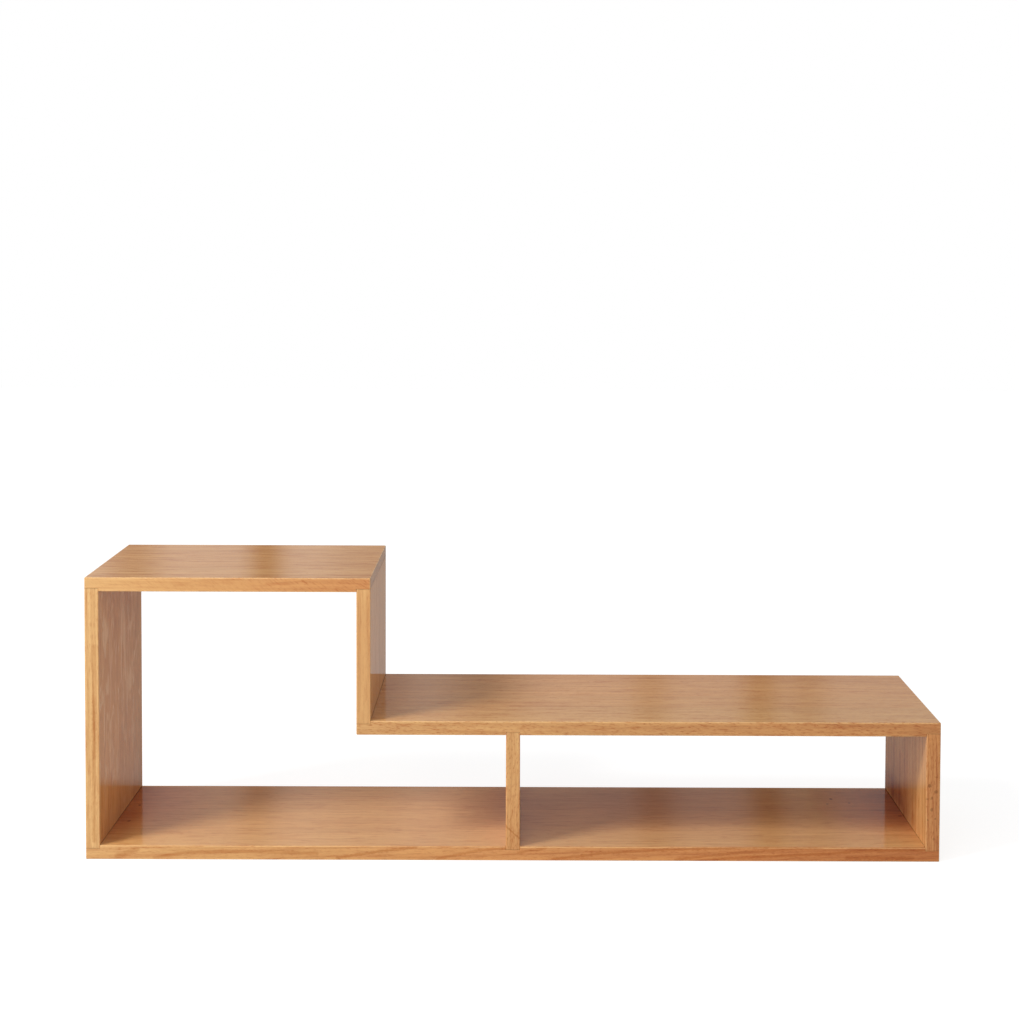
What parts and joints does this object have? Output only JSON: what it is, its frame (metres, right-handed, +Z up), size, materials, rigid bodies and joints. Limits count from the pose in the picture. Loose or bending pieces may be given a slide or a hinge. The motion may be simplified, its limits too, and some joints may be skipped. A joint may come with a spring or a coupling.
{
  "type": "staircase bookshelf",
  "caption": "Open stepped shelf in lacquered beech: a tall open box beside a long low one on a shared bottom board, for books and ornaments.",
  "frame": {"origin": "on the floor, under the middle of the bottom board", "axes": "+Z up, +X along the length towards the low end, front towards -Y"},
  "size_m": [0.915, 0.2, 0.304],
  "materials": {
    "lacquered_beech": "steamed beech, fine sanded, clear satin lacquer",
    "dowel_beech": "bare turned beech with pressed flutes",
    "screw_steel": "bright zinc plated steel"
  },
  "bodies": {
    "root": {"bottom_board": "lacquered_beech", "left_side_panel": "lacquered_beech", "upper_top_board": "lacquered_beech", "riser_panel": "lacquered_beech", "lower_shelf_board": "lacquered_beech", "divider_panel": "lacquered_beech", "right_side_panel": "lacquered_beech", "dowels_top_to_left_side": "dowel_beech", "dowels_top_to_riser": "dowel_beech", "dowels_shelf_to_divider": "dowel_beech", "dowels_shelf_to_right_side": "dowel_beech", "screws_base_to_left_side": "screw_steel", "screws_base_to_divider": "screw_steel", "screws_base_to_right_side": "screw_steel", "screws_shelf_to_riser": "screw_steel"}
  },
  "joints": []
}
